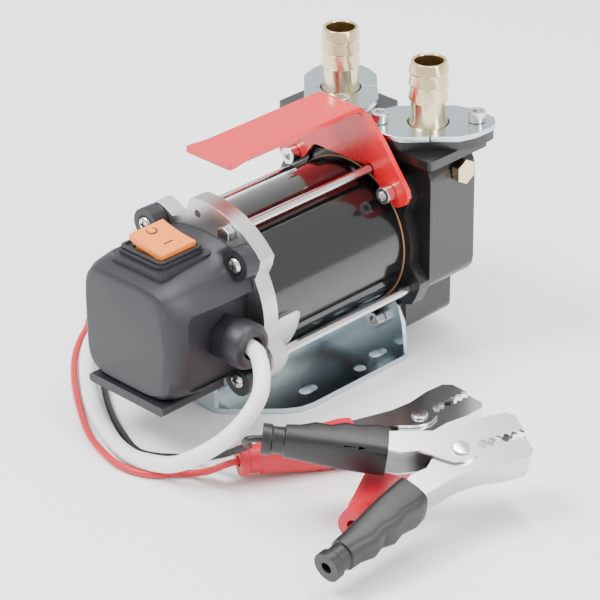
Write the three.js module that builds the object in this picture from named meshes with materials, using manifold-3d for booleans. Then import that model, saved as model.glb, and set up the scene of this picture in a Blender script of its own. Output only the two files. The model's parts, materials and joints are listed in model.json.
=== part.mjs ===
// Fluid transfer pump: a low-voltage motor drives a self-priming vane pump with two hose tails.
// A carrying handle, a floor bracket, a switch box and a short lead with two battery clips go with it.
// Millimetres, +Z up. The origin is on the underside of the floor bracket, straight below the motor
// axis, in the plane where the motor tube meets the pump body. +Y runs from the switch box to the pump.
import * as THREE from "three";
import { mergeVertices } from "three/addons/utils/BufferGeometryUtils.js";
import Module from "manifold-3d";

const wasm = await Module();
wasm.setup();

// ---------------------------------------------------------------- driving dimensions
const GAP = 0.3; // clearance kept between touching pieces
const AXIS_HEIGHT = 63; // motor axis above the floor
const FLOOR = -AXIS_HEIGHT; // the floor, measured from the motor axis
const SHEET = 2.8; // bracket sheet thickness

const TUBE_R = 40.7;
const TUBE_WALL = 2;
const TUBE_BACK = -94; // switch-box end of the motor tube
const FLANGE_BACK = -104; // front face of the aluminium end flange
const FLANGE_BASE_R = 43.5;
const LOBE_R = 54;
const TIE_CIRCLE_R = 48;
const TIE_ANGLE = 65; // first tie bolt, degrees from +X towards +Z
const TIE_R = 2.3;
const COVER_SCREW = 32.6; // half spacing of the switch box screws

const SHAFT_R = 5;
const BEARING_R = 11;
const PUMP_FACE = 1.4; // front face of the pump body
const PUMP_BACK = 44; // rear face of the pump body
const ROTOR_R = 22;
const CHAMBER_R = 26;
const CHAMBER_OFFSET = 3.5; // chamber centre above the shaft
const CHAMBER_FRONT = 18.5;

const PORT_X = 31.5;
const PORT_Y = 28.1;
const PORT_TOP = 60; // top of the cast port flange, above the axis
const PORT_BORE_R = 9.5;
const PLATE_T = 3; // zinc clamp plate
const PLATE_SCREW = 25.1; // port centre to plate screw
const TAIL_R = 10.5; // largest radius of the hose tail barbs

const BRACKET_SCREW_Z = -45.5;
const bracketScrewX = (side) => (side > 0 ? 22 : -31); // the left one clears a tie bolt

const HANDLE_T = 3;
const HANDLE_TOP = 77; // top of the strap above the axis
const HANDLE_SCREW = 34.5;

const COVER_FRONT = -158.3; // front face of the switch box
const GLAND_Y = -119;
const GLAND_Z = -4.6;
const CABLE_R = 4.25;
const WIRE_R = 1.75;

// ---------------------------------------------------------------- materials
const paint = (color, roughness, metalness) =>
  new THREE.MeshStandardMaterial({ color, roughness, metalness });
const castIron = paint(0x17181a, 0.75, 0.2);
const blackTube = paint(0x0c0c0d, 0.25, 0.2);
const aluminium = paint(0xc4c2c0, 0.45, 0.9);
const steel = paint(0xd2d4d6, 0.25, 1);
const zinc = paint(0xb4bec2, 0.35, 0.95);
const redPaint = paint(0xd81e2a, 0.3, 0.1);
const brass = paint(0xd3bd84, 0.28, 0.95);
const slatePlastic = paint(0x2c2e33, 0.6, 0);
const orangePlastic = paint(0xef9650, 0.4, 0);
const gasketBrown = paint(0x8a6242, 0.8, 0);
const copper = paint(0xb87333, 0.45, 0.6);
const ferrite = paint(0x3a3a3c, 0.8, 0.1);
const whitePvc = paint(0xe4e8e2, 0.5, 0);
const redPvc = paint(0xd02a3a, 0.5, 0);
const blackPvc = paint(0x222224, 0.6, 0);

// ---------------------------------------------------------------- solids from three.js geometry
const radians = THREE.MathUtils.degToRad;

function solid(geometry) {
  const bare = geometry.clone();
  bare.deleteAttribute("normal");
  bare.deleteAttribute("uv");
  const merged = mergeVertices(bare, 1e-3);
  return new wasm.Manifold(
    new wasm.Mesh({
      numProp: 3,
      vertProperties: merged.attributes.position.array,
      triVerts: new Uint32Array(merged.index.array),
    }),
  );
}

function geometryOf(manifold) {
  const mesh = manifold.simplify(0.02).getMesh();
  const geometry = new THREE.BufferGeometry();
  geometry.setAttribute("position", new THREE.BufferAttribute(mesh.vertProperties, 3));
  geometry.setIndex(new THREE.BufferAttribute(mesh.triVerts, 1));
  geometry.computeVertexNormals();
  return geometry;
}

const join = (...solids) => solids.reduce((a, b) => a.add(b));
const cut = (body, ...tools) => tools.reduce((a, b) => a.subtract(b), body);

function outlineShape(points) {
  return new THREE.Shape(points.map(([a, b]) => new THREE.Vector2(a, b)));
}

// A flat outline in X and Y, from z0 up to z1.
function slabZ(points, z0, z1) {
  const geometry = new THREE.ExtrudeGeometry(outlineShape(points), {
    depth: z1 - z0,
    bevelEnabled: false,
  });
  geometry.translate(0, 0, z0);
  return solid(geometry);
}

// A flat outline in X and Z, from y0 to y1.
function slabY(points, y0, y1) {
  const geometry = new THREE.ExtrudeGeometry(outlineShape(points), {
    depth: y1 - y0,
    bevelEnabled: false,
  });
  geometry.rotateX(Math.PI / 2);
  geometry.translate(0, y1, 0);
  return solid(geometry);
}

// A flat outline in Y and Z, from x0 to x1.
function slabX(points, x0, x1) {
  const geometry = new THREE.ExtrudeGeometry(outlineShape(points), {
    depth: x1 - x0,
    bevelEnabled: false,
  });
  geometry.rotateX(Math.PI / 2);
  geometry.rotateZ(Math.PI / 2);
  geometry.translate(x0, 0, 0);
  return solid(geometry);
}

function box(x0, x1, y0, y1, z0, z1) {
  const geometry = new THREE.BoxGeometry(x1 - x0, y1 - y0, z1 - z0);
  geometry.translate((x0 + x1) / 2, (y0 + y1) / 2, (z0 + z1) / 2);
  return solid(geometry);
}

function cylinder(axis, radius, from, to, a, b, sides = 24) {
  const geometry = new THREE.CylinderGeometry(radius, radius, to - from, sides);
  const middle = (from + to) / 2;
  if (axis === "x") geometry.rotateZ(Math.PI / 2).translate(middle, a, b);
  if (axis === "y") geometry.translate(a, middle, b);
  if (axis === "z") geometry.rotateX(Math.PI / 2).translate(a, b, middle);
  return solid(geometry);
}

// A closed profile of [radius, height] points, turned about an axis along Y or Z.
function turned(axis, profile, sides = 32) {
  const points = profile.map(([r, h]) => new THREE.Vector2(r, h));
  const geometry = new THREE.LatheGeometry([...points, points[0].clone()], sides);
  if (axis === "z") geometry.rotateX(Math.PI / 2);
  const made = solid(geometry);
  return made.volume() < 0 ? turned(axis, [...profile].reverse(), sides) : made;
}

const ring = (axis, inner, outer, from, to, sides = 28) =>
  turned(axis, [[inner, from], [outer, from], [outer, to], [inner, to]], sides);

const moved = (body, x, y, z) => body.translate([x, y, z]);

// Closed skin through rings of equal point counts, with flat ends.
function loft(rings) {
  const count = rings[0].length;
  const vertices = rings.flat().map((p) => new THREE.Vector3(...p));
  const faces = [];
  for (let r = 0; r + 1 < rings.length; r += 1) {
    for (let i = 0; i < count; i += 1) {
      const j = (i + 1) % count;
      const a = r * count + i;
      const b = r * count + j;
      faces.push(a, b, b + count, a, b + count, a + count);
    }
  }
  const last = (rings.length - 1) * count;
  for (let i = 1; i + 1 < count; i += 1) {
    faces.push(0, i + 1, i);
    faces.push(last, last + i, last + i + 1);
  }
  const geometry = new THREE.BufferGeometry().setFromPoints(vertices);
  geometry.setIndex(faces);
  const made = solid(geometry);
  if (made.volume() > 0) return made;
  return loft([...rings].reverse());
}

// A circle with raised lobes: each lobe is [centre angle, half width in degrees].
function lobedOutline(baseR, lobeR, lobes, blend = 9, step = 4) {
  const points = [];
  for (let angle = 0; angle < 360; angle += step) {
    let rise = 0;
    for (const [centre, half] of lobes) {
      const away = Math.abs(((angle - centre + 540) % 360) - 180) - half;
      const t = THREE.MathUtils.clamp(1 - away / blend, 0, 1);
      rise = Math.max(rise, t * t * (3 - 2 * t));
    }
    const r = baseR + (lobeR - baseR) * rise;
    points.push([r * Math.cos(radians(angle)), r * Math.sin(radians(angle))]);
  }
  return points;
}

function roundedRectangle(x0, x1, y0, y1, r, steps = 4) {
  const corners = [[x1 - r, y1 - r, 0], [x0 + r, y1 - r, 90], [x0 + r, y0 + r, 180], [x1 - r, y0 + r, 270]];
  return corners.flatMap(([cx, cy, start]) =>
    Array.from({ length: steps + 1 }, (_, i) => {
      const angle = radians(start + (90 * i) / steps);
      return [cx + r * Math.cos(angle), cy + r * Math.sin(angle)];
    }),
  );
}

const polar = (r, angle) => [r * Math.cos(radians(angle)), r * Math.sin(radians(angle))];
const tieAngles = [0, 1, 2, 3].map((i) => TIE_ANGLE + 90 * i);
const FOOT_TIE = tieAngles[2]; // this one passes the bracket and ends deeper, in the foot
const tieEnd = (angle) => (angle === FOOT_TIE ? 14 : 7);

// ---------------------------------------------------------------- scene graph
const pump = new THREE.Group();
const onAxis = new THREE.Group(); // everything is drawn from the motor axis and stood on the floor
onAxis.position.z = AXIS_HEIGHT;
pump.add(onAxis);

function place(name, body, material, group = onAxis) {
  const mesh = new THREE.Mesh(geometryOf(body), material);
  mesh.name = name;
  group.add(mesh);
  return mesh;
}

// Socket cap screw along +Z with its head's underside at z = 0 and the shank below it.
function capScrew(headR, headH, shankR, shankL) {
  const head = cylinder("z", headR, 0, headH, 0, 0, 20);
  const shank = cylinder("z", shankR, -shankL, 0.01, 0, 0, 12);
  const socket = cylinder("z", headR * 0.55, headH * 0.45, headH + 1, 0, 0, 6);
  return cut(join(head, shank), socket);
}

// ---------------------------------------------------------------- motor
function makeMotor() {
  place("motor_tube", ring("y", TUBE_R - TUBE_WALL, TUBE_R, TUBE_BACK, 0, 64), blackTube);

  const magnetInner = 29;
  const magnetOuter = TUBE_R - TUBE_WALL - 0.4;
  for (const [name, middle] of [["magnet_left", 180], ["magnet_right", 0]]) {
    const outline = [];
    for (let angle = -62; angle <= 62; angle += 12.4) outline.push(polar(magnetOuter, middle + angle));
    for (let angle = 62; angle >= -62; angle -= 12.4) outline.push(polar(magnetInner, middle + angle));
    place(name, slabY(outline, -75, -19), ferrite);
  }

  const bore = SHAFT_R + GAP;
  const core = ring("y", bore, 27.5, -72, -24, 32);
  const slots = [];
  for (let i = 0; i < 8; i += 1) {
    slots.push(cylinder("y", 1.8, -72.5, -23.5, ...polar(26.6, i * 45), 6));
  }
  const coils = ring("y", bore, 21, -79, -17, 24);
  const commutator = ring("y", bore, 12, -91, -77, 24);
  place("armature", join(cut(core, ...slots), coils, commutator), copper);
  place("motor_shaft", cylinder("y", SHAFT_R, -102.5, 48, 0, 0, 24), steel);

  const plate = ring("y", 14, 38.2, -93.8, -91.8, 40);
  const holder = (side) => box(Math.min(side * 12.6, side * 30), Math.max(side * 12.6, side * 30), -92, -81, -4.5, 4.5);
  const channel = (side) => box(Math.min(side * 12, side * 28), Math.max(side * 12, side * 28), -90, -83, -3, 3);
  place("brush_holder", cut(join(plate, holder(1), holder(-1)), channel(1), channel(-1)), blackPvc);

  const ringLobes = [[TIE_ANGLE + 4, 29], [-35, 15], [144, 16], [234, 16], [270, 8]];
  const outline = lobedOutline(FLANGE_BASE_R, LOBE_R, ringLobes);
  const flange = slabY(outline, FLANGE_BACK, TUBE_BACK - GAP);
  const holes = tieAngles.map((a) => cylinder("y", TIE_R + GAP, -120, -80, ...polar(TIE_CIRCLE_R, a), 12));
  for (const sx of [-1, 1]) {
    for (const sz of [-1, 1]) {
      holes.push(cylinder("y", 1.7, -120, -96, sx * COVER_SCREW, sz * COVER_SCREW, 10));
    }
  }
  holes.push(cylinder("y", 2.2, -120, -80, ...polar(45.5, 94), 12));
  holes.push(cylinder("y", 2.2, -120, -97, 0, -48, 12));
  const seat = cylinder("y", BEARING_R + GAP, -105, -90, 0, 0, 32);
  place("end_flange", cut(flange, seat, ...holes), aluminium);
  place("bearing_motor_end", ring("y", SHAFT_R + GAP, BEARING_R, -103.5, -96.5, 24), steel);
  place("bearing_pump_end", ring("y", SHAFT_R + GAP, BEARING_R, 3, 10, 24), steel);

  tieAngles.forEach((angle, i) => {
    const [x, z] = polar(TIE_CIRCLE_R, angle);
    const rod = cylinder("y", TIE_R, FLANGE_BACK - 1, tieEnd(angle), x, z, 12);
    const head = cylinder("y", 4.6, FLANGE_BACK - 5.2, FLANGE_BACK - GAP, x, z, 6);
    place("tie_bolt_" + (i + 1), join(rod, head), steel);
  });
  place("tube_gasket", ring("y", 36, TUBE_R + 0.5, GAP, PUMP_FACE - GAP, 48), gasketBrown);
}

// ---------------------------------------------------------------- pump end
function portOutline(margin = 0) {
  const outline = [
    [-15, -19.5], [15, -19.5], [24, -15], [31.5, -8], [34.5, -4], [34.5, 4], [31.5, 8], [24, 15],
    [15, 19.5], [-15, 19.5], [-24, 15], [-31.5, 8], [-34.5, 4], [-34.5, -4], [-31.5, -8], [-24, -15],
  ];
  const grow = (v, limit) => v + (Math.sign(v) * margin * Math.abs(v)) / limit;
  return outline.map(([a, b]) => [grow(a, 34.5), grow(b, 19.5)]);
}

// The plates lie at 45 degrees to the motor axis, mirrored left and right.
function toPort(side, [along, across]) {
  const turn = Math.SQRT1_2;
  return [side * (PORT_X + (along + across) * turn), PORT_Y + (along - across) * turn];
}

function portSlab(side, points, z0, z1) {
  const placed = points.map((p) => toPort(side, p));
  return slabZ(side > 0 ? placed : placed.reverse(), z0, z1);
}

function makePumpBody() {
  const ties = tieAngles.filter((a) => a !== FOOT_TIE).map((a) => [a, 8]);
  const outline = lobedOutline(44.5, LOBE_R, [...ties, [45, 8], [135, 8]]);
  let body = slabY(outline, PUMP_FACE, 9);
  body = join(body, cylinder("y", 41, 8, PUMP_BACK, 0, 0, 40));
  body = join(body, slabY(roundedRectangle(-38, 38, -50, -22, 6), 5.4, 40));
  for (const side of [-1, 1]) {
    const tower = roundedRectangle(Math.min(side * 13, side * 52), Math.max(side * 13, side * 52), -24, 51, 11);
    body = join(body, slabY(tower, 8, 42));
    const rim = [Math.min(side * 8, side * 55), Math.max(side * 8, side * 55)];
    body = join(body, slabZ(roundedRectangle(rim[0], rim[1], 4, 49, 2.5), 50, 55.2));
    body = join(body, portSlab(side, portOutline(-0.8), 54.8, PORT_TOP));
    body = join(body, cylinder("y", 7.2, -0.5, 12, side * HANDLE_SCREW, HANDLE_SCREW, 24));
  }
  const tools = [
    cylinder("y", BEARING_R + GAP, -1, 15.5, 0, 0, 32),
    cylinder("y", SHAFT_R + 0.5, 10, 60, 0, 0, 24),
    cylinder("y", CHAMBER_R, CHAMBER_FRONT, 60, 0, CHAMBER_OFFSET, 36),
    cylinder("x", 5.8, -9.6, 60, 30, 42, 20),
    cylinder("x", 4, -31, -9, 30, 42, 20),
  ];
  for (const side of [-1, 1]) {
    tools.push(cylinder("z", PORT_BORE_R, 8, 70, side * PORT_X, PORT_Y, 20));
    tools.push(cylinder("z", 13.2, PORT_TOP - 3.4, 70, side * PORT_X, PORT_Y, 24));
    tools.push(box(Math.min(side * 16, side * 30), Math.max(side * 16, side * 30), 24, 33, 9, 18));
    tools.push(cylinder("y", 2.2, -2, 11.5, side * HANDLE_SCREW, HANDLE_SCREW, 12));
    tools.push(cylinder("y", 2.2, 0, 20, bracketScrewX(side), BRACKET_SCREW_Z, 12));
    for (const end of [-1, 1]) {
      const [x, y] = toPort(side, [end * PLATE_SCREW, 0]);
      tools.push(cylinder("z", 2.6, 49, 70, x, y, 12));
    }
  }
  for (const angle of tieAngles) {
    tools.push(cylinder("y", TIE_R + GAP, -1, tieEnd(angle) + 0.5, ...polar(TIE_CIRCLE_R, angle), 12));
  }
  for (const angle of [45, 135, 225, 315]) tools.push(cylinder("y", 1.8, 34, 60, ...polar(36.5, angle), 10));
  place("pump_body", cut(body, ...tools), castIron);
}

function makePumpInside() {
  place("shaft_seal", ring("y", SHAFT_R + GAP, BEARING_R, 10.6, 15, 24), blackPvc);
  let rotor = ring("y", SHAFT_R + GAP, ROTOR_R, 19, 43.4, 40);
  const vaneAngles = [45, 135, 225, 315];
  for (const angle of vaneAngles) {
    const slot = box(ROTOR_R - 13, ROTOR_R + 2, 18, 45, -1.8, 1.8);
    rotor = rotor.subtract(slot.rotate([0, -angle, 0]));
  }
  place("vane_rotor", rotor, steel);
  vaneAngles.forEach((angle, i) => {
    const vane = box(ROTOR_R - 12.4, ROTOR_R - 0.1, 19.2, 43.2, -1.5, 1.5);
    place("vane_" + (i + 1), vane.rotate([0, -angle, 0]), blackPvc);
  });

  const plate = slabY(lobedOutline(36, 43.5, [45, 135, 225, 315].map((a) => [a, 7]), 14, 5), PUMP_BACK + GAP, 49.5);
  const boss = cylinder("y", 14, 49, 53, 0, 0, 32);
  const tools = [cylinder("y", SHAFT_R + GAP, 40, 48.6, 0, 0, 20)];
  for (const angle of [45, 135, 225, 315]) tools.push(cylinder("y", 2.3, 40, 60, ...polar(38.5, angle), 12));
  place("rear_cover", cut(join(plate, boss), ...tools), castIron);

  // Bypass valve: a sprung poppet between the two ports, behind a threaded cap with a spring guide.
  const poppet = turned("y", [[0, -9.3], [3.6, -9.3], [5.4, -6.5], [5.4, -3.5], [0, -3.5]], 20);
  place("bypass_poppet", moved(poppet.rotate([0, 0, -90]), 0, 30, 42), brass);
  place("bypass_spring", moved(ring("y", 2.6, 4.6, -3.2, 14.5, 16).rotate([0, 0, -90]), 0, 30, 42), steel);
  const cap = join(
    cylinder("x", 5.5, 44, 52.5, 30, 42, 20),
    cylinder("x", 2, 2, 45, 30, 42, 12),
    cylinder("x", 3.6, 14.8, 44.5, 30, 42, 12),
    cylinder("x", 7, 52.4, 57, 30, 42, 6),
  );
  place("bypass_cap", cap, brass);
}

function makePorts() {
  const plateBottom = PORT_TOP + GAP;
  const plateTop = plateBottom + PLATE_T;
  const barbs = [];
  const barbBottom = plateTop + 13;
  for (const [bottom, height] of [[0, 8], [8, 7], [15, 6.6]]) {
    barbs.push([TAIL_R - 0.3, barbBottom + bottom]);
    barbs.push([TAIL_R, barbBottom + bottom + 0.8]);
    barbs.push([9.2, barbBottom + bottom + height]);
  }
  const profile = [
    [7.4, 50], [9.1, 50], [9.1, 56.9], [12.8, 56.9], [12.8, PORT_TOP], [10.4, PORT_TOP],
    [10.4, plateTop + 0.2], [9.2, plateTop + 2.5], [9.1, barbBottom], ...barbs, [7.9, barbBottom + 21.6],
    [7.4, barbBottom + 20.6],
  ];
  for (const [word, side] of [["left", -1], ["right", 1]]) {
    place("hose_tail_" + word, moved(turned("z", profile, 24), side * PORT_X, PORT_Y, 0), brass);
    for (const [part, end] of [["inner", -1], ["outer", 1]]) {
      const half = portOutline().filter(([along]) => along * end > 0);
      const split = [[end * 0.3, -19.5], [end * 0.3, 19.5]];
      const ordered = end > 0 ? [split[0], ...half, split[1]] : sortAround([...half, ...split]);
      const plate = portSlab(side, ordered, plateBottom, plateTop);
      const [x, y] = toPort(side, [end * PLATE_SCREW, 0]);
      const hole = cylinder("z", 11, 40, 80, side * PORT_X, PORT_Y, 32);
      const drilled = cut(plate, hole, cylinder("z", 2.8, 40, 80, x, y, 12));
      place("port_plate_" + word + "_" + part, drilled, zinc);
      const screw = moved(capScrew(4.6, 5.4, 2.4, 11), x, y, plateTop + GAP);
      place("port_screw_" + word + "_" + part, screw, steel);
    }
  }
}

// Points of a convex outline, counter-clockwise round their middle.
function sortAround(points) {
  const cx = points.reduce((sum, p) => sum + p[0], 0) / points.length;
  const cy = points.reduce((sum, p) => sum + p[1], 0) / points.length;
  return [...points].sort((p, q) => Math.atan2(p[1] - cy, p[0] - cx) - Math.atan2(q[1] - cy, q[0] - cx));
}

// ---------------------------------------------------------------- handle and bracket
function makeHandle() {
  const back = -0.8;
  const front = back - HANDLE_T;
  const half = [
    [14.5, 73], [19, 71], [29, 61], [46, 39], [47, 35], [45, 30.5], [40, 27.5], [36, 27.6],
    [27, 35.4], [21, 43.5], [19, 44.5],
  ];
  const outline = [...half, ...half.map(([x, z]) => [-x, z]).reverse()];
  let handle = slabY(outline.reverse(), front, back);

  const strapBottom = HANDLE_TOP - HANDLE_T;
  const bend = [];
  for (let angle = 0; angle <= 90; angle += 15) {
    bend.push([back - 6 + 6 * Math.cos(radians(angle)), HANDLE_TOP - 6 + 6 * Math.sin(radians(angle))]);
  }
  for (let angle = 90; angle >= 0; angle -= 30) {
    bend.push([back - 6 + 3 * Math.cos(radians(angle)), HANDLE_TOP - 6 + 3 * Math.sin(radians(angle))]);
  }
  handle = join(handle, slabX(bend, -14.5, 14.5));
  const strap = [
    [-14.5, back - 5.9], [-14.5, -88], [-16, -95], [-16, -98.5], [-15, -99.5], [15, -99.5],
    [16, -98.5], [16, -95], [14.5, -88], [14.5, back - 5.9],
  ];
  handle = join(handle, slabZ(strap, strapBottom, HANDLE_TOP));
  handle = join(handle, box(-14.5, 14.5, front, back, HANDLE_TOP - 10, HANDLE_TOP - 5.9));
  const tools = tieAngles.map((a) => cylinder("y", TIE_R + 0.6, -6, 2, ...polar(TIE_CIRCLE_R, a), 12));
  for (const side of [-1, 1]) tools.push(cylinder("y", 2.7, -6, 2, side * HANDLE_SCREW, HANDLE_SCREW, 14));
  place("carry_handle", cut(handle, ...tools), redPaint);
  for (const [word, side] of [["left", -1], ["right", 1]]) {
    const screw = capScrew(4.6, 5.4, 2, 13).rotate([90, 0, 0]);
    place("handle_screw_" + word, moved(screw, side * HANDLE_SCREW, front - GAP, HANDLE_SCREW), steel);
  }
}

function slotted(x, y, length, radius) {
  const tool = cylinder("z", radius, FLOOR - 2, FLOOR + 8, x, y - (length / 2 - radius), 12);
  const other = cylinder("z", radius, FLOOR - 2, FLOOR + 8, x, y + (length / 2 - radius), 12);
  return tool.add(other).add(box(x - radius, x + radius, y - length / 2 + radius, y + length / 2 - radius, FLOOR - 2, FLOOR + 8));
}

function makeBracket() {
  const top = FLOOR + SHEET;
  const uprightFront = 2.4;
  const uprightBack = uprightFront + 2.7;
  const right = [
    [42, uprightFront], [42, -68], [40.5, -76], [36, -83], [16, -103], [12, -106], [9, -107],
  ];
  const outline = [...right, ...right.map(([x, y]) => [-x, y]).reverse()];
  let bracket = slabZ(outline.reverse(), FLOOR, top);

  const arch = [];
  for (let angle = -44; angle >= -136; angle -= 8) arch.push(polar(45.8, angle));
  const upright = [[-40, FLOOR + 0.2], [40, FLOOR + 0.2], [38, -44], [35, -33.5], ...arch, [-35, -33.5], [-38, -44]];
  bracket = join(bracket, slabY(upright, uprightFront - 0.01, uprightBack));

  const tabFront = FLANGE_BACK - GAP - 2.7;
  const tab = [[-9, FLOOR + 0.2], [9, FLOOR + 0.2], [9, -47], [6, -43], [-6, -43], [-9, -47]];
  bracket = join(bracket, slabY(tab, tabFront, FLANGE_BACK - GAP));

  const tools = [cylinder("y", 2.6, -110, -100, 0, -48, 12)];
  for (const side of [-1, 1]) {
    tools.push(slotted(side * 30.1, -7.5, 11.5, 3.2));
    tools.push(cylinder("z", 3.4, FLOOR - 2, FLOOR + 8, side * 34.5, -26, 16));
    tools.push(slotted(side * 30.7, -60.7, 11.5, 3.2));
    tools.push(cylinder("y", 2.6, 0, 8, bracketScrewX(side), BRACKET_SCREW_Z, 12));
  }
  for (const angle of tieAngles) tools.push(cylinder("y", TIE_R + 0.6, 0, 8, ...polar(TIE_CIRCLE_R, angle), 12));
  place("floor_bracket", cut(bracket, ...tools), zinc);
  for (const [word, side] of [["left", -1], ["right", 1]]) {
    const screw = capScrew(4.6, 5.4, 2, 12).rotate([90, 0, 0]);
    place("bracket_screw_" + word, moved(screw, bracketScrewX(side), uprightFront - GAP, BRACKET_SCREW_Z), steel);
  }
}

// ---------------------------------------------------------------- switch box
function coverRing(y, centreX, halfWidth, top, bottom, power) {
  const points = [];
  const middle = (top + bottom) / 2;
  const halfHeight = (top - bottom) / 2;
  for (let i = 0; i < 40; i += 1) {
    const angle = (i / 40) * Math.PI * 2;
    const c = Math.cos(angle);
    const s = Math.sin(angle);
    points.push([
      centreX + halfWidth * Math.sign(c) * Math.abs(c) ** (2 / power),
      y,
      middle + halfHeight * Math.sign(s) * Math.abs(s) ** (2 / power),
    ]);
  }
  return points;
}

function makeSwitchBox() {
  const back = FLANGE_BACK - GAP;
  let cover = loft([
    coverRing(COVER_FRONT, 0, 27.5, 26.5, -29, 5),
    coverRing(-156.5, 0, 30.5, 29.5, -31, 5),
    coverRing(-151, 0, 33.5, 31.5, -33, 4.6),
    coverRing(-140, 0, 36, 33.5, -35, 4),
    coverRing(-122, 0, 37.5, 35.5, -37, 3.2),
    coverRing(-112, 0, 38.5, 37, -38, 2.7),
    coverRing(back, 0, 38.5, 37.5, -38, 2.6),
  ]);
  for (const sx of [-1, 1]) {
    for (const sz of [-1, 1]) {
      cover = join(cover, cylinder("y", 8.5, -113, back, sx * COVER_SCREW, sz * COVER_SCREW, 20));
    }
  }
  cover = join(cover, slabZ(roundedRectangle(-19, 19, -150, -114, 4), 24, 36));
  cover = join(cover, slabZ(roundedRectangle(-16, 16, -147.5, -116.5, 4), 30, 38.5));
  cover = join(cover, slabY(roundedRectangle(-26, 29, -36, -31, 2.3), -160.5, -118));
  const tools = [
    loft([
      coverRing(-155.3, -3, 25, 24, -26.5, 5),
      coverRing(-150, -3, 29, 28, -30, 4.5),
      coverRing(-110, -3, 31, 31, -33, 3),
      coverRing(back + 3, -3, 31, 31, -33, 3),
    ]),
    slabZ(roundedRectangle(-11.2, 11.2, -143.4, -120.6, 2), 20, 45),
    slabX(roundedRectangle(-147, -104 + 4, -27, 17, 5), 31, 60),
    cylinder("x", 8.4, 20, 40, GLAND_Y, GLAND_Z, 24),
    box(-9.6, 9.6, -108, -100, -60, -34),
  ];
  for (const sx of [-1, 1]) {
    for (const sz of [-1, 1]) {
      tools.push(cylinder("y", 2.1, -130, -100, sx * COVER_SCREW, sz * COVER_SCREW, 12));
      tools.push(cylinder("y", 4.8, -135, -112, sx * COVER_SCREW, sz * COVER_SCREW, 20));
    }
  }
  for (const angle of tieAngles) tools.push(cylinder("y", 5.6, -111, -100, ...polar(TIE_CIRCLE_R, angle), 16));
  place("switch_cover", cut(cover, ...tools), slatePlastic);

  // Switch module: bezel on the platform and a box below it, hollow where the rocker sinks in.
  const bezel = slabZ(roundedRectangle(-15.4, 15.4, -146.4, -117.6, 3), 38.8, 40);
  const can = slabZ(roundedRectangle(-10.9, 10.9, -143.1, -120.9, 1.7), 16, 39);
  const well = slabZ(roundedRectangle(-13.6, 13.6, -144.4, -119.6, 1.7), 39, 45);
  const hollow = box(-9.9, 9.9, -142.2, -121.8, 24, 45);
  place("switch_module", cut(join(bezel, can), hollow, well), slatePlastic);

  // Rocker: turns about an axis along Y; its +X end is pressed down.
  const arc = [];
  for (let i = 0; i <= 8; i += 1) {
    const x = -12 + 3 * i;
    arc.push([x, 43.6 + 0.006 * x * x]);
  }
  const body = slabY([...arc, [12, 41.6], [8.6, 40.6], [7.5, 33], [-7.5, 33], [-8.6, 40.6], [-12, 41.6]].reverse(), -143.4, -120.6);
  const narrow = box(-20, 20, -141.8, -122.2, 20, 40.5).add(box(-20, 20, -150, -110, 40.45, 60));
  const tilted = moved(moved(body.intersect(narrow), 0, 0, -36).rotate([0, 9, 0]), 0, 0, 36);
  place("rocker", tilted, orangePlastic);
}

function makeGland() {
  const inside = CABLE_R + GAP;
  const profileBody = [[inside, 26.5], [8, 26.5], [8, 31.4], [inside, 31.4]];
  const thread = turned("y", profileBody, 24).rotate([0, 0, -90]);
  const hex = cut(cylinder("x", 12.4, 31.3, 39, 0, 0, 6), cylinder("x", inside, 20, 60, 0, 0, 20));
  place("gland_body", moved(join(thread, hex), 0, GLAND_Y, GLAND_Z), slatePlastic);
  const cap = turned(
    "y",
    [[6, 39.3], [12.2, 39.3], [12.4, 42], [12.4, 47.6], [11, 50.5], [8.5, 51.5], [6, 50.8]],
    24,
  ).rotate([0, 0, -90]);
  place("gland_nut", moved(cap, 0, GLAND_Y, GLAND_Z), slatePlastic);
}

// ---------------------------------------------------------------- battery clips
const HANDLE_ANGLE = 25.5; // each clip handle from the clip's middle line
const GRIP_START = 34.5;
const GRIP_END = 94.5;
const JAW = 34;
const ARM_OUTER = 8.6; // half height of the fixed arm's channel
const ARM_INNER = 7; // the moving arm nests inside it

function armOutline() {
  const handle = (s, w) => {
    const a = radians(HANDLE_ANGLE);
    return [-s * Math.cos(a) + w * Math.sin(a), s * Math.sin(a) + w * Math.cos(a)];
  };
  const teeth = [];
  for (let u = 12; u < JAW; u += 4) teeth.push([u, 2.2], [u + 2, 0.4]);
  return [
    ...teeth.slice(0, -1), [JAW, 0.4], [JAW, 10.5], [JAW - 3.5, 14], [20, 14.6], [6, 12.6], [-6, 13.4], [-17, 16.6],
    handle(GRIP_START - 2, 6.2), handle(GRIP_START + 20, 5.4), handle(GRIP_START + 20, -5.4),
    handle(GRIP_START - 1, -5.8), handle(28, -6.4), handle(20, -4), [-11, -3], [-6.5, -6.8], [0, -8], [6.5, -6], [9.5, 0.4],
  ];
}

function channelArm(side, halfHeight) {
  const wall = 1.3;
  const outline = armOutline();
  const shape = side > 0 ? outline : outline.map(([u, v]) => [u, -v]).reverse();
  const outer = slabZ(shape, -halfHeight, halfHeight);
  const inner = moved(slabZ(shape, -halfHeight + wall, halfHeight - wall), 0, -side * wall, 0);
  const clear = [-1, -2, -3, -5, -8, -12].map((d) => moved(inner, 0, side * d, 0));
  const trimmed = cut(outer, inner, ...clear, cylinder("z", 2.8, -20, 20, 0, 0, 16));
  return cut(trimmed, box(JAW - wall - 12, JAW - wall, Math.min(side * 0.2, side * 9), Math.max(side * 0.2, side * 9), -halfHeight + wall, halfHeight - wall));
}

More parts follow.
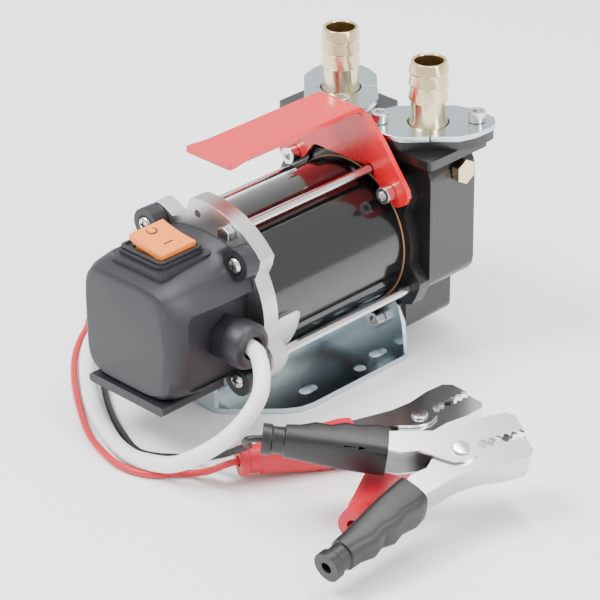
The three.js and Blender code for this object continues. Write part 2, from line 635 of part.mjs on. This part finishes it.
function gripBody(side) {
  const a = radians(HANDLE_ANGLE);
  const sections = [
    [0, 8.8, 9.8, 10.8, 0.5], [6, 8.6, 10.8, 10.8, 0.5], [14, 8.3, 8.8, 10.7, 0.5], [21, 8.2, 10.4, 10.5, 0.55],
    [28, 7.8, 8, 10, 0.6], [35, 7.4, 9.8, 9.4, 0.65], [42, 7, 7.6, 9, 0.75], [49, 7, 7.4, 8.6, 0.85],
    [49.6, 6.2, 6.4, 7.4, 0.95], [55, 6.2, 6.4, 7.4, 1], [55.6, 7.6, 7.6, 8, 1], [60, 7.6, 7.6, 8, 1],
  ];
  const rings = sections.map(([s, inner, outer, high, corner]) => {
    const points = [];
    for (let i = 0; i < 20; i += 1) {
      const angle = (i / 20) * Math.PI * 2;
      const c = Math.cos(angle);
      const n = Math.sin(angle);
      const w = Math.sign(c) * Math.abs(c) ** corner * (c > 0 ? outer : inner);
      const h = Math.sign(n) * Math.abs(n) ** corner * high;
      const along = GRIP_START + s;
      points.push([
        -along * Math.cos(a) + w * Math.sin(a),
        side * (along * Math.sin(a) + w * Math.cos(a)),
        h,
      ]);
    }
    return points;
  });
  const turn = side > 0 ? 180 - HANDLE_ANGLE : 180 + HANDLE_ANGLE;
  const pocketTall = side > 0 ? ARM_OUTER + GAP : ARM_INNER + GAP;
  const pocket = box(GRIP_START - 2, GRIP_START + 21, -6.5, 6.8, -pocketTall, pocketTall);
  const bore = cylinder("x", 3, GRIP_START + 10, GRIP_END + 5, 0, 0, 16);
  return cut(loft(rings), join(pocket, bore).rotate([0, 0, turn]));
}

// The lead: a white sheath from the gland, forward round the switch box, then back along the floor.
const SHEATH = [
  [28, -119, -4.6], [35, -119, -4.6], [42, -119, -4.6], [49, -119, -4.6], [55.5, -121.2, -4.2],
  [61.5, -125.4, -3.6], [67.4, -129.8, -4.6], [72.5, -134.5, -7.5], [75.3, -138.5, -12],
  [75.6, -143, -17.5], [74.2, -147.5, -23],
  [71.3, -152, -29], [66.9, -157, -35.2], [61, -161.5, -41], [54.5, -165, -46.2], [48.2, -167.5, -50.4],
  [42, -169.3, -53.3], [35.9, -170.7, -54.8], [29, -171.6, -56.2], [20, -171.8, -58], [7, -170, -58.7],
  [-10, -164, -58.7], [-32, -153, -58.7], [-56, -136, -58.7], [-76, -118.5, -58.7],
  [-88.5, -103.5, -58.7], [-96, -90, -58.7], [-100, -77, -58.7],
];
// Two wires leave the sheath behind the switch box, turn back and run out to the clips.
const RED_WIRE = [
  [-101.9, -76.6, -59.5], [-103.5, -71, -60.8], [-108, -66.5, -61.2], [-114, -67, -61.2],
  [-117, -72.5, -61.2], [-115.5, -79.5, -61.2], [-110.5, -86.5, -61.2], [-103.5, -94.5, -61.2],
  [-95.5, -106.5, -61.2], [-84, -120.5, -61.2], [-64.5, -138, -61.2], [-41, -155, -61.2],
  [-18, -169, -61.2], [-2, -175, -61.2], [13, -178, -61.2], [25, -176.5, -61.2], [34, -172, -61.2],
  [40, -164.5, -61.2], [46, -159, -61], [52, -156.5, -59], [57.5, -155, -56], [61.8, -151.2, -53.2],
  [65.1, -145.1, -52.1], [72.1, -131.9, -52.1], [79.1, -118.6, -52.1], [81.4, -114.2, -52.1],
];
const BLACK_WIRE = [
  [-98, -75.4, -59.5], [-98.5, -70, -60.8], [-94.5, -65.5, -61.2], [-88.5, -66.5, -61.2],
  [-85.5, -72, -61.2], [-86, -80, -61.2], [-86.3, -88.5, -61.2], [-80.5, -99.5, -61.2],
  [-70, -112, -61.2], [-51.5, -129, -61.2], [-28, -145.5, -61.2], [-7, -156.3, -61.2],
  [12, -162.5, -61.2], [22, -159, -61.2], [29.5, -153.5, -61], [38, -150.8, -58.8],
  [48.6, -149.8, -54.6], [60.5, -149.5, -48], [71.2, -148.5, -40.7], [76, -148.7, -37.4], [80.6, -151.9, -33.5],
  [84, -156, -29.3], [88.3, -162.2, -24],
  [92.6, -163.6, -20], [97.3, -159.9, -19.3], [108.2, -149.7, -21],
  [119.1, -139.5, -22.7], [122.7, -136.1, -23.3],
];

function makeClip(word, plastic, position, angles) {
  const clip = new THREE.Group();
  clip.position.set(...position);
  clip.rotation.set(...angles.map(radians), "ZYX");
  onAxis.add(clip);
  place(word + "_clip_arm_fixed", channelArm(1, ARM_OUTER), zinc, clip);
  place(word + "_clip_arm_moving", channelArm(-1, ARM_INNER), zinc, clip);
  place(word + "_clip_grip_fixed", gripBody(1), plastic, clip);
  place(word + "_clip_grip_moving", gripBody(-1), plastic, clip);
  const head = ARM_OUTER + GAP;
  const half = [[2.4, head], [4.4, head], [4, head + 0.9], [0, head + 1.3]];
  const rivet = turned("z", [...half.map(([r, h]) => [r, -h]).reverse(), ...half], 20);
  place(word + "_clip_rivet", rivet, steel, clip);
}

// ---------------------------------------------------------------- lead
function cord(name, points, radius, sides, material) {
  const section = [];
  for (let i = 0; i < sides; i += 1) {
    const angle = (i / sides) * Math.PI * 2;
    section.push([radius * Math.cos(angle), radius * Math.sin(angle)]);
  }
  const route = new THREE.CatmullRomCurve3(points.map((p) => new THREE.Vector3(...p)), false, "centripetal");
  const steps = Math.min(56, Math.round(route.getLength() / (radius * 2.2)));
  const geometry = new THREE.ExtrudeGeometry(outlineShape(section), {
    steps,
    extrudePath: route,
    bevelEnabled: false,
  });
  place(name, solid(geometry), material);
}

makeMotor();
makePumpBody();
makePumpInside();
makePorts();
makeHandle();
makeBracket();
makeSwitchBox();
makeGland();
cord("cable_sheath", SHEATH, CABLE_R, 8, whitePvc);
cord("wire_red", RED_WIRE, WIRE_R, 6, redPvc);
cord("wire_black", BLACK_WIRE, WIRE_R, 6, blackPvc);
makeClip("red", redPvc, [109.4, -61.1, FLOOR + 10.9], [0, 0, 87.7]);
makeClip("black", blackPvc, [166.2, -95.4, -30.2], [19.7, -1.9, 67.2]);

export default pump;
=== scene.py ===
import json
import math

import bpy
from mathutils import Euler, Matrix, Vector


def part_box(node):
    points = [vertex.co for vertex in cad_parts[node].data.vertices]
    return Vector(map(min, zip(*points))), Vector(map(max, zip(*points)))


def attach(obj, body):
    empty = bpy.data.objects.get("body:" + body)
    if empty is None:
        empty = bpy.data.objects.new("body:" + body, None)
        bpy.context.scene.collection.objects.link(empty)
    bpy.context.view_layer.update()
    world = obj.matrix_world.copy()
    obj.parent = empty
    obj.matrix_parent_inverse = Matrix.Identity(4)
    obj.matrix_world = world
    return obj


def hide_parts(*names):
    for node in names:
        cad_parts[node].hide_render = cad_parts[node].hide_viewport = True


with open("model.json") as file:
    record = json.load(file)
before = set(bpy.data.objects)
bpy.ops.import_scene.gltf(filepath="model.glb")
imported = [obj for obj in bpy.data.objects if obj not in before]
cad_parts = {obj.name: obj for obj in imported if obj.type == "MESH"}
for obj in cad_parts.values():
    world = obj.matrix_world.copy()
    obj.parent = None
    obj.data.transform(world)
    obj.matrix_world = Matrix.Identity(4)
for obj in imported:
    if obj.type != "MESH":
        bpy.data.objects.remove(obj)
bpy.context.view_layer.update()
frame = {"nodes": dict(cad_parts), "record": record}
NODES = frame["nodes"]
RECORD = frame["record"]

MM = 0.001
AXIS_HEIGHT = 63  # motor axis above the floor, in millimetres
COVER_SCREW = 32.6  # half spacing of the switch box screws
COVER_SCREW_SEAT = -112
REAR_SCREW_R = 38.5
REAR_SCREW_SEAT = 49.6
SHEATH_D = 8.5
WIRE_D = 3.5


def at_axis(x, y, z):
    """A point given in millimetres from the motor axis, as metres above the floor."""
    return Vector((x * MM, y * MM, (z + AXIS_HEIGHT) * MM))


# ---------------------------------------------------------------- camera
CAMERA_PLACE = (0.9808, -1.0145, 0.7817)
CAMERA_AZIMUTH = math.radians(45.051)
CAMERA_PITCH = math.radians(28.344)
CAMERA_ROLL = math.radians(-0.555)
LENS_MM = 180
SENSOR_MM = 36


def add_camera():
    data = bpy.data.cameras.new("camera")
    data.lens = LENS_MM
    data.sensor_width = SENSOR_MM
    camera = bpy.data.objects.new("camera", data)
    a, p = CAMERA_AZIMUTH, CAMERA_PITCH
    forward = Vector((-math.sin(a) * math.cos(p), math.cos(a) * math.cos(p), -math.sin(p)))
    level = Vector((math.cos(a), math.sin(a), 0))
    above = level.cross(forward)
    c, s = math.cos(CAMERA_ROLL), math.sin(CAMERA_ROLL)
    right = level * c + above * s
    up = above * c - level * s
    turn = Matrix((right, up, -forward)).transposed().to_4x4()
    camera.matrix_world = Matrix.Translation(CAMERA_PLACE) @ turn
    bpy.context.scene.collection.objects.link(camera)
    bpy.context.scene.camera = camera


add_camera()


# ---------------------------------------------------------------- materials
COAT_ROUGHNESS = 0.08
BUMP_M = 0.0002  # height of the finest grain
NOISE_DETAIL = 4
TINT_SCALE = 45  # scale of the broad change between colour and tint


def new_material(
    name, color, roughness, metallic=0.0, bump=0.0, grain=900.0, vary=0.05, coat=0.0, tint=None
):
    """A procedural finish: fine noise moves the roughness, bump lifts it, tint mixes in a second colour."""
    material = bpy.data.materials.new(name)
    material.use_nodes = True
    nodes = material.node_tree.nodes
    links = material.node_tree.links
    shader = nodes["Principled BSDF"]
    shader.inputs["Base Color"].default_value = (*color, 1)
    shader.inputs["Metallic"].default_value = metallic
    shader.inputs["Roughness"].default_value = roughness
    shader.inputs["Coat Weight"].default_value = coat
    shader.inputs["Coat Roughness"].default_value = COAT_ROUGHNESS
    where = nodes.new("ShaderNodeTexCoord")
    noise = nodes.new("ShaderNodeTexNoise")
    noise.inputs["Scale"].default_value = grain
    noise.inputs["Detail"].default_value = NOISE_DETAIL
    links.new(where.outputs["Object"], noise.inputs["Vector"])
    spread = nodes.new("ShaderNodeMapRange")
    spread.inputs["To Min"].default_value = max(roughness - vary, 0.02)
    spread.inputs["To Max"].default_value = min(roughness + vary, 1)
    links.new(noise.outputs["Fac"], spread.inputs["Value"])
    links.new(spread.outputs["Result"], shader.inputs["Roughness"])
    if bump:
        height = nodes.new("ShaderNodeBump")
        height.inputs["Strength"].default_value = bump
        height.inputs["Distance"].default_value = BUMP_M
        links.new(noise.outputs["Fac"], height.inputs["Height"])
        links.new(height.outputs["Normal"], shader.inputs["Normal"])
    if tint:
        broad = nodes.new("ShaderNodeTexNoise")
        broad.inputs["Scale"].default_value = TINT_SCALE
        links.new(where.outputs["Object"], broad.inputs["Vector"])
        mix = nodes.new("ShaderNodeMix")
        mix.data_type = "RGBA"
        mix.inputs["A"].default_value = (*color, 1)
        mix.inputs["B"].default_value = (*tint, 1)
        links.new(broad.outputs["Fac"], mix.inputs["Factor"])
        links.new(mix.outputs["Result"], shader.inputs["Base Color"])
    return material


FINISHES = {
    "clip_zinc": dict(
        color=(0.80, 0.80, 0.79), roughness=0.2, metallic=1,
        bump=0.05, tint=(0.66, 0.68, 0.70),
    ),
    "red_pvc": dict(color=(0.55, 0.008, 0.025), roughness=0.42, bump=0.1),
    "black_pvc": dict(color=(0.007, 0.007, 0.008), roughness=0.42, bump=0.1),
    "white_pvc": dict(color=(0.80, 0.83, 0.79), roughness=0.42, bump=0.06),
    "black_paint_iron": dict(
        color=(0.006, 0.006, 0.0065), roughness=0.34, bump=1.0,
        grain=420, coat=0.3,
    ),
    "black_tube": dict(color=(0.004, 0.004, 0.0045), roughness=0.14, coat=0.6, vary=0.02),
    "cast_aluminium": dict(
        color=(0.66, 0.655, 0.65), roughness=0.36, metallic=1,
        bump=0.25, grain=700,
    ),
    "red_paint": dict(color=(0.66, 0.004, 0.012), roughness=0.28, coat=0.5, bump=0.08),
    "slate_plastic": dict(color=(0.013, 0.014, 0.018), roughness=0.46, bump=0.25, grain=1500),
    "orange_plastic": dict(color=(0.85, 0.22, 0.03), roughness=0.32, bump=0.04),
    "brass": dict(
        color=(0.82, 0.68, 0.43), roughness=0.2, metallic=1,
        bump=0.05, tint=(0.74, 0.60, 0.36),
    ),
    "zinc_plate": dict(
        color=(0.66, 0.73, 0.75), roughness=0.22, metallic=1,
        bump=0.06, tint=(0.50, 0.62, 0.68),
    ),
    "gasket": dict(color=(0.30, 0.16, 0.08), roughness=0.8, bump=0.3),
    "copper_core": dict(color=(0.60, 0.30, 0.15), roughness=0.45, metallic=0.8, bump=0.1),
    "ferrite": dict(color=(0.05, 0.05, 0.05), roughness=0.7, bump=0.2),
    "steel": dict(color=(0.74, 0.74, 0.74), roughness=0.22, metallic=1, bump=0.04),
}
MATERIALS = {name: new_material(name, **finish) for name, finish in FINISHES.items()}
# painted shade: a near-black material standing in for the shade inside the screw heads' cross recesses
MATERIALS["recess"] = new_material("recess", (0.02, 0.02, 0.02), 0.6)
MATERIALS["label"] = new_material("label", (0.72, 0.73, 0.74), 0.4, 0.3, bump=0.03)
MATERIALS["mark"] = new_material("mark", (0.02, 0.015, 0.01), 0.4)

EDGE_MM = 0.3  # bevel on every node that is not listed below
BEVEL_MM = {"switch_cover": 0.7, "pump_body": 0.8, "end_flange": 0.7, "carry_handle": 0.5, "rocker": 0.6}
BEVEL_ANGLE = math.radians(32)
WELD_M = 0.00001


def finish_node(node, slot_name):
    """Softens a CAD node's edges with modifiers and gives it its slot's material."""
    piece = NODES[node]
    piece.data.materials.clear()
    piece.data.materials.append(MATERIALS[slot_name])
    piece.data.shade_smooth()
    weld = piece.modifiers.new("weld", "WELD")
    weld.merge_threshold = WELD_M
    bevel = piece.modifiers.new("bevel", "BEVEL")
    bevel.width = BEVEL_MM.get(node, EDGE_MM) * MM
    bevel.segments = 2
    bevel.limit_method = "ANGLE"
    bevel.angle_limit = BEVEL_ANGLE
    piece.modifiers.new("normals", "WEIGHTED_NORMAL")


for subpart in RECORD["subparts"]:
    finish_node(subpart["node"], subpart["material_slot"])


# ---------------------------------------------------------------- lead
SHEATH = [
    (28, -119, -4.6), (35, -119, -4.6), (42, -119, -4.6), (49, -119, -4.6), (55.5, -121.2, -4.2),
    (61.5, -125.4, -3.6), (67.4, -129.8, -4.6), (72.5, -134.5, -7.5), (75.3, -138.5, -12),
    (75.6, -143, -17.5), (74.2, -147.5, -23), (71.3, -152, -29), (66.9, -157, -35.2), (61, -161.5, -41),
    (54.5, -165, -46.2), (48.2, -167.5, -50.4), (42, -169.3, -53.3), (35.9, -170.7, -54.8),
    (29, -171.6, -56.2), (20, -171.8, -58), (7, -170, -58.7), (-10, -164, -58.7), (-32, -153, -58.7),
    (-56, -136, -58.7), (-76, -118.5, -58.7), (-88.5, -103.5, -58.7), (-96, -90, -58.7),
    (-100, -77, -58.7),
]
RED_WIRE = [
    (-101.9, -76.6, -59.5), (-103.5, -71, -60.8), (-108, -66.5, -61.2), (-114, -67, -61.2),
    (-117, -72.5, -61.2), (-115.5, -79.5, -61.2), (-110.5, -86.5, -61.2), (-103.5, -94.5, -61.2),
    (-95.5, -106.5, -61.2), (-84, -120.5, -61.2), (-64.5, -138, -61.2), (-41, -155, -61.2),
    (-18, -169, -61.2), (-2, -175, -61.2), (13, -178, -61.2), (25, -176.5, -61.2), (34, -172, -61.2),
    (40, -164.5, -61.2), (46, -159, -61), (52, -156.5, -59), (57.5, -155, -56), (61.8, -151.2, -53.2),
    (65.1, -145.1, -52.1), (72.1, -131.9, -52.1), (79.1, -118.6, -52.1), (81.4, -114.2, -52.1),
]
BLACK_WIRE = [
    (-98, -75.4, -59.5), (-98.5, -70, -60.8), (-94.5, -65.5, -61.2), (-88.5, -66.5, -61.2),
    (-85.5, -72, -61.2), (-86, -80, -61.2), (-86.3, -88.5, -61.2), (-80.5, -99.5, -61.2),
    (-70, -112, -61.2), (-51.5, -129, -61.2), (-28, -145.5, -61.2), (-7, -156.3, -61.2),
    (12, -162.5, -61.2), (22, -159, -61.2), (29.5, -153.5, -61), (38, -150.8, -58.8),
    (48.6, -149.8, -54.6), (60.5, -149.5, -48), (71.2, -148.5, -40.7), (76, -148.7, -37.4),
    (80.6, -151.9, -33.5), (84, -156, -29.3), (88.3, -162.2, -24), (92.6, -163.6, -20),
    (97.3, -159.9, -19.3), (108.2, -149.7, -21), (119.1, -139.5, -22.7), (122.7, -136.1, -23.3),
]


def smooth_route(points, per_span=6):
    """A smooth line through the points, each span timed by the root of its length."""
    line = [Vector(p) for p in points]
    line = [line[0] * 2 - line[1], *line, line[-1] * 2 - line[-2]]
    out = []
    for i in range(1, len(line) - 2):
        p0, p1, p2, p3 = line[i - 1 : i + 3]
        t1 = (p1 - p0).length ** 0.5
        t2 = t1 + (p2 - p1).length ** 0.5
        t3 = t2 + (p3 - p2).length ** 0.5
        for k in range(per_span):
            t = t1 + (t2 - t1) * k / per_span
            a1 = p0 * ((t1 - t) / t1) + p1 * (t / t1)
            a2 = p1 * ((t2 - t) / (t2 - t1)) + p2 * ((t - t1) / (t2 - t1))
            a3 = p2 * ((t3 - t) / (t3 - t2)) + p3 * ((t - t2) / (t3 - t2))
            b1 = a1 * ((t2 - t) / t2) + a2 * (t / t2)
            b2 = a2 * ((t3 - t) / (t3 - t1)) + a3 * ((t - t1) / (t3 - t1))
            out.append(b1 * ((t2 - t) / (t2 - t1)) + b2 * ((t - t1) / (t2 - t1)))
    out.append(line[-2])
    return out


def new_wire(name, points, diameter_mm, slot_name, body):
    """A round wire along points given in metres."""
    curve = bpy.data.curves.new(name, "CURVE")
    curve.dimensions = "3D"
    curve.bevel_depth = diameter_mm * MM / 2
    curve.bevel_resolution = 5
    curve.use_fill_caps = True
    spline = curve.splines.new("POLY")
    spline.points.add(len(points) - 1)
    for place, point in zip(spline.points, points):
        place.co = (*point, 1)
    curve.materials.append(MATERIALS[slot_name])
    piece = bpy.data.objects.new(name, curve)
    bpy.context.scene.collection.objects.link(piece)
    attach(piece, body)
    return piece


def add_cord(node, route, diameter_mm, slot_name):
    """Stands a smooth curve of the given thickness in for a CAD cord and hides the CAD node."""
    points = [at_axis(*p) for p in smooth_route(route)]
    piece = new_wire(node + "_line", points, diameter_mm, slot_name, "pump")
    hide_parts(node)


# ---------------------------------------------------------------- small trim
def new_mesh(name, vertices, faces, slot_name, body, material=None):
    """A mesh piece that rides on a body; material is given where it differs from the slot's."""
    mesh = bpy.data.meshes.new(name)
    mesh.from_pydata([tuple(v) for v in vertices], [], faces)
    mesh.validate()
    mesh.shade_smooth()
    mesh.materials.append(MATERIALS[material or slot_name])
    piece = bpy.data.objects.new(name, mesh)
    bpy.context.scene.collection.objects.link(piece)
    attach(piece, body)
    return piece


def turned_shape(profile, sides, matrix):
    """Vertices and faces of a closed solid turned from a profile of (radius, height) in millimetres."""
    vertices = []
    faces = []
    for radius, height in profile:
        for i in range(sides):
            angle = i / sides * math.tau
            vertices.append(matrix @ Vector((radius * math.cos(angle), radius * math.sin(angle), height)))
    for r in range(len(profile) - 1):
        for i in range(sides):
            j = (i + 1) % sides
            faces.append((r * sides + i, r * sides + j, (r + 1) * sides + j, (r + 1) * sides + i))
    faces.append(tuple(reversed(range(sides))))
    faces.append(tuple(range((len(profile) - 1) * sides, len(profile) * sides)))
    return [v * MM for v in vertices], faces


def box_shape(low, high, matrix):
    """Vertices and faces of a block between two corners in millimetres."""
    corners = [(x, y, z) for x in (low[0], high[0]) for y in (low[1], high[1]) for z in (low[2], high[2])]
    vertices = [matrix @ Vector(corner) for corner in corners]
    faces = [(0, 1, 3, 2), (4, 6, 7, 5), (0, 4, 5, 1), (2, 3, 7, 6), (0, 2, 6, 4), (1, 5, 7, 3)]
    return [v * MM for v in vertices], faces


def ring_shape(half_x, half_y, width, matrix, sides=36):
    """A thin oval ring lying on a face, 0.18 mm proud of it."""
    vertices = []
    for inset, height in ((0, -0.1), (0, 0.18), (width, 0.18), (width, -0.1)):
        for i in range(sides):
            angle = i / sides * math.tau
            point = ((half_x - inset) * math.cos(angle), (half_y - inset) * math.sin(angle), height)
            vertices.append((matrix @ Vector(point)) * MM)
    faces = []
    for r in range(4):
        for i in range(sides):
            j = (i + 1) % sides
            following = (r + 1) % 4
            faces.append((r * sides + i, r * sides + j, following * sides + j, following * sides + i))
    return vertices, faces


def joined(*shapes):
    """Several shapes as one list of vertices and one of faces."""
    vertices = []
    faces = []
    for some_vertices, some_faces in shapes:
        start = len(vertices)
        vertices += some_vertices
        faces += [tuple(start + i for i in face) for face in some_faces]
    return vertices, faces


def facing(x, y, z, axis):
    """A frame in millimetres whose +Z points along axis, at a point given from the motor axis."""
    turn = Vector((0, 0, 1)).rotation_difference(Vector(axis)).to_matrix().to_4x4()
    return Matrix.Translation((x, y, z + AXIS_HEIGHT)) @ turn


def add_pan_screw(name, matrix, body, radius=4.2, height=2.6, slot_name="steel"):
    """A pan head whose cross recess is drawn as near-black bars of painted shade; the head's underside is at
    the frame's origin.
    """
    profile = [
        (radius * 0.96, 0), (radius, height * 0.25), (radius * 0.97, height * 0.5),
        (radius * 0.82, height * 0.8), (radius * 0.5, height * 0.97), (radius * 0.1, height),
    ]
    new_mesh(name, *turned_shape(profile, 28, matrix), slot_name, body)
    # the cross recess is two near-black bars, slightly proud of the dome, painted shade where the hole's
    # shadow falls
    long = radius * 0.52
    thin = radius * 0.13
    top = height + 0.06
    recess_shade_bars = joined(
        box_shape((-long, -thin, height * 0.7), (long, thin, top), matrix),
        box_shape((-thin, -long, height * 0.7), (thin, long, top), matrix),
    )
    new_mesh(name + "_recess", *recess_shade_bars, slot_name, body, "recess")


CLIP_FRAMES = {
    "red": Matrix.Translation((109.4, -61.1, 10.9)) @ Matrix.Rotation(math.radians(87.7), 4, "Z"),
    "black": Matrix.Translation((166.2, -95.4, 32.8))
    @ Euler([math.radians(v) for v in (19.7, -1.9, 67.2)], "XYZ").to_matrix().to_4x4(),
}


SPRING_R = 4.6
SPRING_HALF = 4.4  # half height of the coil
SPRING_WIRE_D = 1.5
SPRING_TURNS = 5
STEPS_PER_TURN = 18


def add_clip_spring(word):
    """The coil of the torsion spring round a clip's rivet."""
    place = CLIP_FRAMES[word]
    steps = SPRING_TURNS * STEPS_PER_TURN
    coil = []
    for i in range(steps + 1):
        angle = i / STEPS_PER_TURN * math.tau
        rise = -SPRING_HALF + 2 * SPRING_HALF * i / steps
        point = Vector((SPRING_R * math.cos(angle), SPRING_R * math.sin(angle), rise))
        coil.append(place @ point * MM)
    return new_wire(word + "_clip_spring", coil, SPRING_WIRE_D, "steel", "pump")


def add_label():
    """A blank rating plate, bent round the motor tube, with rounded corners."""
    columns = 28
    rows = 6
    corner = 3.0
    low, high = math.radians(-50), math.radians(-4)
    front, back = -92.6, -76.0
    width = 40.9 * (high - low)
    layers = []
    for radius in (40.72, 40.95):
        layer = []
        for i in range(columns + 1):
            along = width * i / columns
            edge = min(along, width - along)
            inset = corner - math.sqrt(max(corner**2 - max(corner - edge, 0) ** 2, 0))
            angle = low + (high - low) * i / columns
            for j in range(rows + 1):
                y = front + inset + (back - front - 2 * inset) * j / rows
                layer.append(at_axis(radius * math.cos(angle), y, radius * math.sin(angle)))
        layers.append(layer)
    count = len(layers[0])
    step = rows + 1
    faces = []
    for i in range(columns):
        for j in range(rows):
            a = i * step + j
            quad = (a, a + step, a + step + 1, a + 1)
            faces.append(tuple(reversed(quad)))
            faces.append(tuple(count + v for v in quad))
    rim = [i * step for i in range(columns + 1)]
    rim += [columns * step + j for j in range(1, step)]
    rim += [i * step + rows for i in range(columns - 1, -1, -1)]
    rim += [j for j in range(rows - 1, 0, -1)]
    for a, b in zip(rim, rim[1:] + rim[:1]):
        faces.append((a, b, count + b, count + a))
    new_mesh("rating_label", layers[0] + layers[1], faces, "cast_aluminium", "pump", "label")


ROCKER_TILT = math.radians(9)  # the rocker rests with its +X side down
ABOVE_ALL = 200  # a height over the whole pump, to look down from


def add_rocker_marks():
    """A ring and a bar printed on the two halves of the rocker."""
    tilt = Matrix.Rotation(ROCKER_TILT, 4, "Y")
    for word, x, y in (("off", -6.6, -132), ("on", 5.2, -132)):
        top = Vector((x, y, ABOVE_ALL)) * MM
        hit, point, _, _ = NODES["rocker"].ray_cast(top, Vector((0, 0, -1)))
        height = point.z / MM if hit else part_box("rocker")[1][2] / MM
        place = Matrix.Translation((x, y, height)) @ tilt
        if word == "off":
            new_mesh("rocker_mark_off", *ring_shape(2.7, 3.1, 0.7, place), "orange_plastic", "rocker", "mark")
        else:
            shape = box_shape((-0.4, -3.0, -0.1), (0.4, 3.0, 0.18), place)
            new_mesh("rocker_mark_on", *shape, "orange_plastic", "rocker", "mark")


springs = {word: add_clip_spring(word) for word in CLIP_FRAMES}
add_cord(
    "cable_sheath", SHEATH, SHEATH_D, "white_pvc",
)
add_cord(
    "wire_red", RED_WIRE, WIRE_D, "red_pvc",
)
add_cord(
    "wire_black", BLACK_WIRE, WIRE_D, "black_pvc",
)

for index, (sx, sz) in enumerate(((1, 1), (-1, 1), (-1, -1), (1, -1)), 1):
    seat = facing(sx * COVER_SCREW, COVER_SCREW_SEAT, sz * COVER_SCREW, (0, -1, 0))
    add_pan_screw(f"cover_screw_{index}", seat, "pump")
for index, angle in enumerate((45, 135, 225, 315), 1):
    x = REAR_SCREW_R * math.cos(math.radians(angle))
    z = REAR_SCREW_R * math.sin(math.radians(angle))
    add_pan_screw(f"rear_screw_{index}", facing(x, REAR_SCREW_SEAT, z, (0, 1, 0)), "pump", 3.8, 2.8)
add_label()
add_rocker_marks()


# ---------------------------------------------------------------- studio
FLOOR_HALF = 6.0
FLOOR_DROP = 0.0005  # keeps the floor just clear of the bracket
WORLD_STRENGTH = 1.15


def add_floor():
    corners = [(x * FLOOR_HALF, y * FLOOR_HALF, 0) for x, y in ((-1, -1), (1, -1), (1, 1), (-1, 1))]
    mesh = bpy.data.meshes.new("floor")
    mesh.from_pydata(corners, [], [(0, 1, 2, 3)])
    mesh.materials.append(new_material("floor", (0.93, 0.93, 0.93), 0.9))
    floor = bpy.data.objects.new("floor", mesh)
    floor.location.z = -FLOOR_DROP
    bpy.context.scene.collection.objects.link(floor)


def add_light(name, place, target, size, power):
    data = bpy.data.lights.new(name, "AREA")
    data.shape = "RECTANGLE"
    data.size, data.size_y = size
    data.energy = power
    light = bpy.data.objects.new(name, data)
    light.location = place
    light.rotation_euler = (Vector(target) - Vector(place)).to_track_quat("-Z", "Y").to_euler()
    bpy.context.scene.collection.objects.link(light)


def add_world():
    world = bpy.data.worlds.new("studio")
    world.use_nodes = True
    world.node_tree.nodes["Background"].inputs["Color"].default_value = (1, 1, 1, 1)
    world.node_tree.nodes["Background"].inputs["Strength"].default_value = WORLD_STRENGTH
    bpy.context.scene.world = world


MIDDLE = (0.02, -0.06, 0.06)
add_floor()
add_world()
add_light("key", (-0.5, -0.9, 1.5), MIDDLE, (0.7, 0.7), 40)
add_light("right_strip", (1.3, 0.1, 0.7), MIDDLE, (0.3, 1.2), 16)
add_light("top", (0.1, 0.2, 1.6), MIDDLE, (1.2, 0.35), 22)
